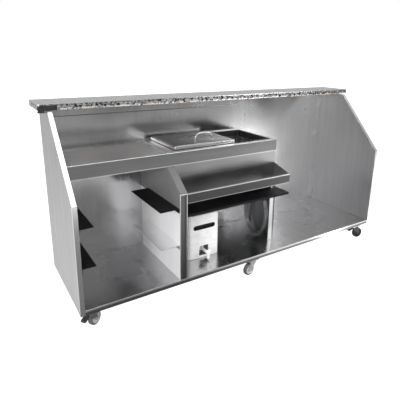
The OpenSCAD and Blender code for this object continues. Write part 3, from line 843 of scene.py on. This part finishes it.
@dataclass
class Shell(Assembly):
    """End panels, edge channels, fascia, linings, floor and under-floor channels."""

    def build(self) -> None:
        """Makes the shell's pieces."""
        for side in ("left", "right"):
            panel = self.soften(f"{side}_end_panel", PANEL)
            if side == "left":
                # Painted shade on the left panel's inner face.
                self.accent(panel, SHADED_STEEL, lambda face: face.normal.x > 0.9)
            self.soften(f"{side}_edge_trim", POLISH_AND_HIGHLIGHT, fold=0.0012)
        self.soften("customer_fascia", PANEL)
        self.soften("inner_back_wall", LINING, fold=0.0004)
        self.soften("lower_back_panel", LINING, fold=0.0004)
        pan = self.soften("floor_pan", FLOOR)
        # Painted highlight and shade on the pan's front faces.
        self.accent(pan, FLOOR_RIM_LIT, lambda face: face.normal.y < -0.3)
        self.soften("under_frame", ZINC)


@dataclass
class Counter(Assembly):
    """Plywood core, hammered cover and the black guard on its left front corner."""

    step: float = 0.0065
    depth: float = 0.0014
    facets: float = 44.0
    skin: float = 0.0005

    def build(self) -> None:
        """Makes the counter's pieces."""
        low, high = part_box("counter_top")
        seed = as_object("cover_seed", bpy.data.meshes.new("cover_seed"))
        finish = HammeredMetal("cover_hammered", top_z=high.z)
        cover = hammered_tree().run(
            seed, "counter_cover", Size=high - low, Centre=(low + high) / 2, Step=self.step,
            Edge_radius=0.004, Depth=self.depth, Facets=self.facets, Material=finish.material())
        wall = cover.modifiers.new("sheet", "SOLIDIFY")
        wall.thickness = self.skin
        wall.offset = -1.0
        cover = baked(cover, "counter_cover")
        smooth(cover.data, 50.0)
        self.stand_for(cover, finish, "counter_top")
        self.soften("counter_core", PLY, fold=0.0004)
        self.soften("counter_corner_guard", RUBBER, fold=0.0008)


@dataclass
class WorkDeck(Assembly):
    """Deck with apron, backsplash, drainer well, drain plate and waste."""

    pitch: float = 0.0105
    hole: float = 0.0034
    rim: float = 0.014
    sheet: float = 0.0015
    plate_corner: float = 0.006
    chamfer: float = 0.0005

    def cell(self, z: float) -> bpy.types.Object:
        """Returns one cell of perforated sheet: a tile with a round hole, open at its sides.

        Args:
            z: Height of the tile's top.

        Returns:
            The tile, centred on the Z axis.
        """
        half_x, half_y = self.pitch / 2, self.pitch * math.sqrt(3) / 4
        square = [(1, 0), (1, 1), (0, 1), (-1, 1), (-1, 0), (-1, -1), (0, -1), (1, -1)]
        outer = [(half_x * x, half_y * y) for x, y in square]
        inner = [(self.hole * math.cos(a), self.hole * math.sin(a))
                 for a in (math.radians(45 * k) for k in range(8))]
        bm = bmesh.new()
        rings = [[bm.verts.new((x, y, h)) for x, y in ring]
                 for ring, h in ((outer, z), (inner, z), (inner, z - self.sheet), (outer, z - self.sheet))]
        for a, b in zip(rings, rings[1:]):
            for i in range(8):
                bm.faces.new((a[i - 1], a[i], b[i], b[i - 1]))
        return from_bmesh("drain_cell", bm)

    def drain_plate(self) -> None:
        """Makes the perforated plate with its plain rim and its two feet."""
        low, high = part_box("drainer_insert")
        row_step = self.pitch * math.sqrt(3) / 2
        columns = math.floor((high.x - low.x - 2 * self.rim) / self.pitch)
        rows = math.floor((high.y - low.y - 2 * self.rim) / row_step)
        length, width = (columns - 1) * self.pitch, (rows - 1) * row_step
        cell = self.cell(high.z)
        centre = Vector(((low.x + high.x) / 2 - self.pitch / 4, (low.y + high.y) / 2, 0))
        field_piece = perforation_tree().run(
            as_object("drain_seed", bpy.data.meshes.new("drain_seed")), "drain_field",
            Length=length, Width=width, Pitch=self.pitch, Row_step=row_step, Centre=centre,
            Cell=cell, Material=DRAINER.material())
        bpy.data.objects.remove(cell)
        bm = bmesh.new()
        absorb(bm, field_piece)
        inner_x = (centre.x - length / 2 - self.pitch / 4, centre.x + length / 2 + 3 * self.pitch / 4)
        inner_y = (centre.y - width / 2 - row_step / 2, centre.y + width / 2 + row_step / 2)
        top, under = high.z + 0.0002, high.z - self.sheet - 0.0002
        inner = (inner_x[0] + self.pitch / 4, inner_y[0] + 0.0004,
                 inner_x[1] - self.pitch / 4, inner_y[1] - 0.0004)
        rim = loft("drain_rim", [
            inset_ring(low, high, 0.0, under, self.plate_corner),
            inset_ring(low, high, 0.0, top - self.chamfer, self.plate_corner),
            inset_ring(low, high, self.chamfer, top, self.plate_corner),
            rounded_ring(*inner, top, 0.001), rounded_ring(*inner, under, 0.001)], loop=True)
        absorb(bm, rim)
        for y in (low.y + 0.001, high.y - 0.001 - self.sheet):
            bmesh.ops.create_cube(bm, size=1.0, matrix=Matrix.Translation(
                ((low.x + high.x) / 2, y + self.sheet / 2, (low.z + under) / 2)) @ Matrix.Diagonal(
                (high.x - low.x - 0.012, self.sheet, under - low.z + 0.0002, 1)))
        plate = from_bmesh("drain_plate_perforated", bm)
        smooth(plate.data)
        self.stand_for(plate, DRAINER, "drainer_insert")
        # Painted highlight on the plate's plain rim.
        self.accent(plate, POLISH_AND_HIGHLIGHT, lambda face: face.normal.z > 0.3 and not (
            inner_x[0] < face.center.x < inner_x[1] and inner_y[0] < face.center.y < inner_y[1]))

    def build(self) -> None:
        """Makes the deck's pieces."""
        deck = self.soften("work_deck", DECK, fold=0.005)
        # Painted shade on the apron.
        self.accent(deck, APRON_SHADE, lambda face: face.normal.y < -0.9)
        # Painted highlight on the nosing's round.
        self.accent(deck, POLISH_AND_HIGHLIGHT, lambda face: -0.9 < face.normal.y < -0.2 and face.normal.z > 0.2)
        self.soften("backsplash", LINING, fold=0.0008)
        self.soften("drainer_well", DECK)
        self.soften("drainer_waste", ZINC, fold=0.0008)
        self.drain_plate()


@dataclass
class IceBin(Assembly):
    """Bin shell, foam, liner, breaker strip, drain, lid and handle."""

    corner: float = 0.018
    sheet: float = 0.0012
    lid_corner: float = 0.010
    lid_sheet: float = 0.0015
    lid_rim: float = 0.016
    lid_step: float = 0.0022
    rod: float = 0.0045
    bend: float = 0.042

    def liner(self) -> None:
        """Makes the inner tub with drawn round corners."""
        low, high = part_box("bin_liner")
        r, sheet = self.corner, self.sheet
        tub = loft("bin_liner_drawn", [inset_ring(low, high, inset, z, radius) for inset, z, radius in (
            (r * 0.6, low.z, r * 0.6), (r * 0.15, low.z + r * 0.25, r * 0.9),
            (0.0, low.z + r, r), (0.0, high.z, r), (sheet, high.z, r), (sheet, low.z + r, r),
            (r * 0.2, low.z + r * 0.3, r * 0.85), (r * 0.7, low.z + sheet, r * 0.5))])
        self.stand_for(tub, LINER, "bin_liner")

    def lid(self) -> None:
        """Makes the sliding lid: a shallow pan upside down, with a raised field."""
        low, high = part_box("bin_lid")
        sheet, rim, drop = self.lid_sheet, self.lid_rim, self.lid_step
        pan = loft("bin_lid_pressed", [inset_ring(low, high, inset, z, self.lid_corner) for inset, z in (
            (rim + 0.003, high.z), (rim, high.z - drop * 0.4), (rim - 0.002, high.z - drop),
            (0.003, high.z - drop), (0.0008, high.z - drop - 0.0012), (0.0, high.z - drop - 0.004),
            (0.0, low.z + 0.0004), (sheet / 2, low.z), (sheet, low.z + 0.0004),
            (sheet, high.z - drop - 0.004), (sheet + 0.002, high.z - drop - sheet),
            (rim, high.z - drop - sheet), (rim + 0.003, high.z - sheet))])
        self.stand_for(pan, LID, "bin_lid")
        # Painted highlight on the lid's rim and turned-down edges.
        self.accent(pan, POLISH_AND_HIGHLIGHT, lambda face: face.normal.z > -0.5 and not (
            low.x + rim < face.center.x < high.x - rim and low.y + rim < face.center.y < high.y - rim))

    def handle(self) -> None:
        """Makes the bent rod handle with its foot washers."""
        low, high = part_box("lid_handle")
        y, foot = (low.y + high.y) / 2, low.z
        x0, x1 = low.x + 0.009, high.x - 0.009
        rise = high.z - self.rod
        arc = [math.radians(15 * k) for k in range(7)]
        left = [Vector((x0 + self.bend * (1 - math.cos(a)), y, rise - self.bend * (1 - math.sin(a))))
                for a in arc]
        right = [Vector((x1 + x0 - p.x, y, p.z)) for p in reversed(left)]
        points = [Vector((x0, y, foot)), Vector((x0, y, foot + 0.003)), *left, *right,
                  Vector((x1, y, foot + 0.003)), Vector((x1, y, foot))]
        rod = baked(tube("handle_line", points, self.rod), "handle_rod")
        bm = bmesh.new()
        absorb(bm, rod)
        outline = [(0.0045, 0.0), (0.009, 0.0), (0.009, 0.0009), (0.008, 0.0015), (0.0045, 0.0015)]
        for x in (x0, x1):
            absorb(bm, turned("washer", outline, Vector((x, y, foot)), Vector((0, 0, 1)), 24))
        piece = from_bmesh("lid_handle_arched", bm)
        smooth(piece.data, 50.0)
        self.stand_for(piece, ROD, "lid_handle")

    def build(self) -> None:
        """Makes the bin's pieces."""
        # The bin shell takes the dark painted-shade steel.
        self.soften("bin_shell", SHADED_STEEL)
        self.repaint("bin_insulation", FOAM)
        self.liner()
        self.soften("bin_breaker_strip", RUBBER, fold=0.0009)
        self.soften("bin_drain", ZINC, fold=0.0006)
        self.soften("drain_valve", BRASS, fold=0.001)
        self.soften("valve_lever", GRIP, fold=0.0009)
        self.lid()
        self.handle()


@dataclass
class Storage(Assembly):
    """Partitions, speed rail, lower shelf and the four rack ledges."""

    def ledge_rivets(self, node: str, side: int, heads: Fasteners) -> None:
        """Adds three rivets to a ledge's fixing leg, on the bay's side."""
        low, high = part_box(node)
        x = low.x + 0.003 if side < 0 else high.x - 0.003
        z = low.z + 0.011
        heads.row(Vector((x, low.y + 0.04, z)), Vector((x, high.y - 0.04, z)), 3, Vector((-side, 0, 0)))

    def build(self, heads: Fasteners) -> None:
        """Makes the storage pieces.

        Args:
            heads: Collects the rivets.
        """
        wall = self.soften("left_partition", LINING)
        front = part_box("left_partition")[0].y
        # Painted shade on the upper part of the partition's left face.
        self.accent(wall, SATIN_WITH_SHADE, lambda face: face.normal.x < -0.9)
        # Painted shade on the partition's slope.
        self.accent(wall, SLOPE_SHADE, lambda face: face.normal.y < -0.3 and face.normal.z > 0.3)
        self.accent(wall, GROOVE, lambda face: front + 0.003 < face.center.y < front + 0.012)
        self.soften("right_partition", LINING)
        # The rail's body takes the dark painted-shade steel.
        rail = self.soften("speed_rail", SHADED_STEEL, fold=0.0018)
        rail_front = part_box("speed_rail")[0].y
        # Painted shade on the rail's front face.
        self.accent(rail, RAIL_SHADE, lambda face: face.normal.y < -0.5 and face.center.y < rail_front + 0.003)
        self.soften("rail_end_plates", PANEL, fold=0.0005)
        self.soften("lower_shelf", BLACK_COAT)
        # partition_lower_ledge takes the bright polished finish as a painted reflection; the other ledges
        # are black coat.
        for node, finish, side in (
                ("left_upper_ledge", BLACK_COAT, -1), ("left_lower_ledge", BLACK_COAT, -1),
                ("partition_upper_ledge", BLACK_COAT, 1), ("partition_lower_ledge", POLISH_AND_HIGHLIGHT, 1)):
            self.soften(node, finish, fold=0.0009)
            self.ledge_rivets(node, side, heads)


@dataclass
class WaterJug(Assembly):
    """Blow-moulded jug with its cap, tap and key."""

    voxel: float = 0.0032
    passes: int = 7
    grip_z: float = 0.355
    tap_z: float = 0.190

    def body(self) -> None:
        """Makes the jug as a moulded shell with all its edges drawn round."""
        piece = from_bmesh("jug_raw", node_mesh("water_jug"))
        remesh = piece.modifiers.new("skin", "REMESH")
        remesh.mode = "VOXEL"
        remesh.voxel_size = self.voxel
        relax = piece.modifiers.new("relax", "SMOOTH")
        relax.factor = 0.5
        relax.iterations = self.passes
        piece = baked(piece, "jug_moulded")
        smooth(piece.data, 80.0)
        self.stand_for(piece, JUG, "water_jug")
        low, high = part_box("water_jug")
        middle = (low.x + high.x) / 2
        # Painted shade in the grip slot, spreading onto the front skin, and round the tap.
        self.accent(piece, SHADE, lambda face: (
            low.y + 0.0015 < face.center.y < low.y + 0.05 and abs(face.center.x - middle) < 0.09
            and abs(face.center.z - self.grip_z) < 0.025))
        self.accent(piece, TAP_RECESS_SHADE, lambda face: (
            low.y + 0.005 < face.center.y < low.y + 0.06 and abs(face.center.x - middle) < 0.04
            and abs(face.center.z - self.tap_z) < 0.038))

    def build(self) -> None:
        """Makes the jug's pieces."""
        self.body()
        self.soften("jug_cap", JUG, fold=0.0009)
        self.soften("jug_tap", JUG, fold=0.0012)
        self.soften("tap_lever", JUG, fold=0.0012)


@dataclass
class DrainHose(Assembly):
    """Clear hose from the bin's valve, hung in turns on its hook."""

    radius: float = 0.008
    shift: float = -0.0215
    turns: int = 2
    steps: int = 28
    lane: float = 0.0165
    ring_y: float = -0.100
    ring_z: float = 0.330
    half_width: float = 0.107
    half_height: float = 0.167
    lead: tuple[tuple[float, float, float], ...] = (
        (0.110, 0.020, 0.470), (0.110, 0.020, 0.455), (0.111, 0.020, 0.440), (0.114, 0.019, 0.425),
        (0.119, 0.017, 0.410), (0.126, 0.015, 0.395), (0.134, 0.012, 0.380), (0.141, 0.009, 0.365),
        (0.146, 0.007, 0.350), (0.148, 0.007, 0.338), (0.148, 0.007, 0.330))
    tail: tuple[float, ...] = (0.315, 0.300, 0.285, 0.270, 0.255, 0.240)

    def route(self) -> list[Vector]:
        """Returns the hose's centre line: the lead, the turns and the hanging end."""
        points = [Vector(p) for p in self.lead]
        x0 = self.lead[-1][0]
        for k in range(1, self.turns * self.steps + 1):
            a = 2 * math.pi * k / self.steps
            points.append(Vector((x0 + self.lane * k / self.steps,
                                  self.ring_y + self.half_width * math.cos(a),
                                  self.ring_z - self.half_height * math.sin(a))))
        last = points[-1]
        points += [Vector((last.x, last.y, z)) for z in self.tail]
        return [p + Vector((self.shift, 0, 0)) for p in points]

    def build(self) -> None:
        """Makes the hose, its nozzle and its hook."""
        points = self.route()
        hose = tube("drain_hose", points, self.radius, 5)
        self.stand_for(hose, VINYL, "hose_tube", "hose_hank")
        nozzle = self.soften("hose_nozzle", NYLON, fold=0.0008)
        self.soften("hose_hook", ZINC, fold=0.001)


@dataclass
class Casters(Assembly):
    """Six swivel casters: plates, bolts, forks, wheels and two brake pedals."""

    tyre: float = 0.040
    half_width: float = 0.014
    hub: float = 0.011
    # The caster drawn all black, tyre and fork, as painted shade.
    shaded_one: int = 3

    def wheel(self, index: int) -> None:
        """Makes one wheel: a crowned tyre on a webbed centre.

        Args:
            index: The caster's number, from 1.
        """
        joint = JOINTS[f"wheel_{index}_roll"]
        centre, axis = Vector(joint["pos_m"]), Vector(joint["axis"])
        w, r = self.half_width, self.tyre
        half = [(0.0041, w - 0.001), (self.hub, w - 0.001), (self.hub + 0.001, w - 0.0055),
                (r - 0.014, w - 0.0055), (r - 0.0125, w - 0.001), (r - 0.0095, w - 0.001),
                (r - 0.0085, w - 0.0022), (r - 0.0075, w - 0.0004), (r - 0.0045, w),
                (r - 0.002, w - 0.0014), (r - 0.0005, w - 0.0042), (r, w * 0.3)]
        profile = half + [(a, -b) for a, b in reversed(half)]
        piece = turned(f"caster_wheel_{index}_turned", profile, centre, axis, 56)
        self.stand_for(piece, SHADED_TYRE if index == self.shaded_one else GREY_TYRE, f"caster_wheel_{index}")
        if index != self.shaded_one:
            self.accent(piece, HUB, lambda face: (
                (face.center - centre) - axis * (face.center - centre).dot(axis)).length < r - 0.0098)

    def build(self) -> None:
        """Makes the casters' pieces."""
        self.soften("caster_plates", ZINC, fold=0.0008)
        self.soften("caster_bolts", ZINC, fold=0.0006)
        for index in range(1, 7):
            coat = PEDAL_BLACK_AND_FORK_SHADE if index == self.shaded_one else ZINC
            self.soften(f"caster_fork_{index}", coat, fold=0.0009)
            self.wheel(index)
        for index in (1, 3):
            self.soften(f"brake_pedal_{index}", PEDAL_BLACK_AND_FORK_SHADE, fold=0.0012)


# ---- studio -------------------------------------------------------------------


@dataclass
class Studio:
    """Pale floor, soft light and the camera."""

    place: Vector = field(default_factory=lambda: Vector((-1.5896, -2.1781, 1.4299)))
    yaw: float = 0.5833
    pitch: float = -0.2708
    roll: float = 0.0187
    lens: float = 36.0076
    shift: tuple[float, float] = (-0.0377, -0.0912)
    floor_size: float = 60.0

    def camera(self) -> None:
        """Makes the camera."""
        data = bpy.data.cameras.new("camera")
        data.sensor_width = 36.0
        data.lens = self.lens
        data.shift_x, data.shift_y = self.shift
        level = math.cos(self.pitch)
        forward = Vector((math.sin(self.yaw) * level, math.cos(self.yaw) * level, math.sin(self.pitch)))
        side = Vector((math.cos(self.yaw), -math.sin(self.yaw), 0))
        up = side.cross(forward)
        right = side * math.cos(self.roll) + up * math.sin(self.roll)
        above = up * math.cos(self.roll) - side * math.sin(self.roll)
        turn = Matrix((right, above, -forward)).transposed().to_4x4()
        piece = bpy.data.objects.new("camera", data)
        piece.matrix_world = Matrix.Translation(self.place) @ turn
        bpy.context.scene.collection.objects.link(piece)
        bpy.context.scene.camera = piece

    def floor(self) -> None:
        """Makes the pale floor, with painted shade in front of the bar and far off, for the bar to reflect.
        """
        bm = bmesh.new()
        bmesh.ops.create_grid(bm, x_segments=1, y_segments=1, size=self.floor_size / 2)
        ground = from_bmesh("ground", bm)
        ground.location.z = -0.0005
        recipe = Recipe("ground_paint")
        cloud = recipe.grain((0.8, 0.8, 0.8), 2.0)
        parts = recipe.add("ShaderNodeSeparateXYZ", {0: recipe.place})
        x, y = parts.outputs["X"], parts.outputs["Y"]
        # Painted shade: a dark patch in front of the bar and darkening far off, seen in the bar's
        # reflections.
        painted_shade_patch = recipe.math("MULTIPLY", recipe.remap(x, (-1.6, -1.2), (0.0, 1.0)),
                            recipe.remap(x, (0.4, -0.4), (0.0, 1.0)))
        painted_shade_patch = recipe.math("MULTIPLY", painted_shade_patch, recipe.remap(y, (-0.1, -0.3), (0.0, 1.0)))
        painted_shade_patch = recipe.math("MULTIPLY", painted_shade_patch, recipe.remap(y, (-2.3, -2.05), (0.0, 0.85)))
        shade = recipe.math("MULTIPLY", recipe.math("SUBTRACT", 1.0, painted_shade_patch),
                            recipe.remap(y, (-6.0, -4.2), (0.12, 1.0)))
        seen = recipe.add("ShaderNodeLightPath").outputs["Is Camera Ray"]
        ground.data.materials.append(recipe.dress(
            Base_Color=recipe.scaled(recipe.blend(cloud, (0.66,) * 3, (0.70,) * 3), shade), Roughness=0.9,
            Emission_Color=(1.0, 1.0, 1.0, 1.0), Emission_Strength=recipe.math("MULTIPLY", seen, 0.95)))

    def softbox(self, name: str, place: Sequence[float], aim: Sequence[float], size: tuple[float, float],
                power: float) -> bpy.types.Object:
        """Adds one soft area light.

        Args:
            name: The light's name.
            place: Where it stands.
            aim: The point it faces.
            size: Its width and height.
            power: Its power in watts.

        Returns:
            The light.
        """
        data = bpy.data.lights.new(name, "AREA")
        data.shape = "RECTANGLE"
        data.size, data.size_y = size
        data.energy = power
        piece = bpy.data.objects.new(name, data)
        piece.location = place
        piece.rotation_euler = (Vector(aim) - Vector(place)).to_track_quat("-Z", "Y").to_euler()
        bpy.context.scene.collection.objects.link(piece)
        return piece

    def light(self) -> None:
        """Makes the soft lights and the pale surround."""
        world = bpy.data.worlds.new("studio")
        bpy.context.scene.world = world
        world.use_nodes = True
        wiring = Wiring(world.node_tree)
        way = wiring.add("ShaderNodeTexCoord").outputs["Generated"]
        parts = wiring.add("ShaderNodeSeparateXYZ", {0: way})
        round_about = wiring.remap(parts.outputs["Y"], (-0.6, 0.5), (0.19, 0.45))
        to_left = wiring.remap(parts.outputs["X"], (0.2, -0.9), (0.0, 0.20))
        above = wiring.remap(parts.outputs["Z"], (0.25, 0.9), (0.0, 0.45))
        room = wiring.math("ADD", wiring.math("ADD", round_about, to_left), above)
        seen = wiring.add("ShaderNodeLightPath").outputs["Is Camera Ray"]
        strength = wiring.math("MAXIMUM", room, seen)
        sky = world.node_tree.nodes["Background"]
        sky.inputs["Color"].default_value = (1.0, 1.0, 1.0, 1.0)
        world.node_tree.links.new(strength, sky.inputs["Strength"])
        self.softbox("top", (0.6, -0.8, 3.6), (0.3, 0, 0.8), (3.0, 1.2), 22.0)
        self.softbox("fill", (-1.2, -3.4, 1.5), (0, 0, 0.5), (2.0, 1.4), 34.0).visible_glossy = False
        self.softbox("side", (-3.6, -2.4, 1.3), (-0.9, 0, 0.5), (1.6, 1.6), 105.0).visible_glossy = False
        self.softbox("pool", (2.2, -2.2, 2.6), (2.2, -2.1, 0.0), (3.0, 2.4), 75.0).visible_glossy = False
        card = self.softbox("card", (2.0, -1.95, 0.01), (2.0, -1.95, 1.0), (0.2, 4.1), 11.0)
        card.rotation_euler = (math.pi, 0.0, math.radians(37.8))
        card.visible_camera = False
        self.softbox("tall", (2.8, -3.0, 2.35), (0.3, 0.2, 0.7), (1.1, 1.8), 22.0)
        self.softbox("low", (-1.75, -3.0, 1.8), (0.6, 0.2, 0.4), (1.0, 1.1), 15.0)

    def build(self) -> None:
        """Makes the whole studio."""
        self.camera()
        self.floor()
        self.light()
        bpy.context.scene.view_settings.view_transform = "Standard"


def main() -> None:
    """Builds the bar's looks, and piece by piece."""
    logging.basicConfig(level=logging.INFO, format="%(message)s")
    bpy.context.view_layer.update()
    Studio().build()
    DrainHose().build()
    heads = Fasteners()
    Shell().build()
    Counter().build()
    WorkDeck().build()
    IceBin().build()
    Storage().build(heads)
    WaterJug().build()
    Casters().build()
    heads.build()


if __name__ == "__main__":
    main()
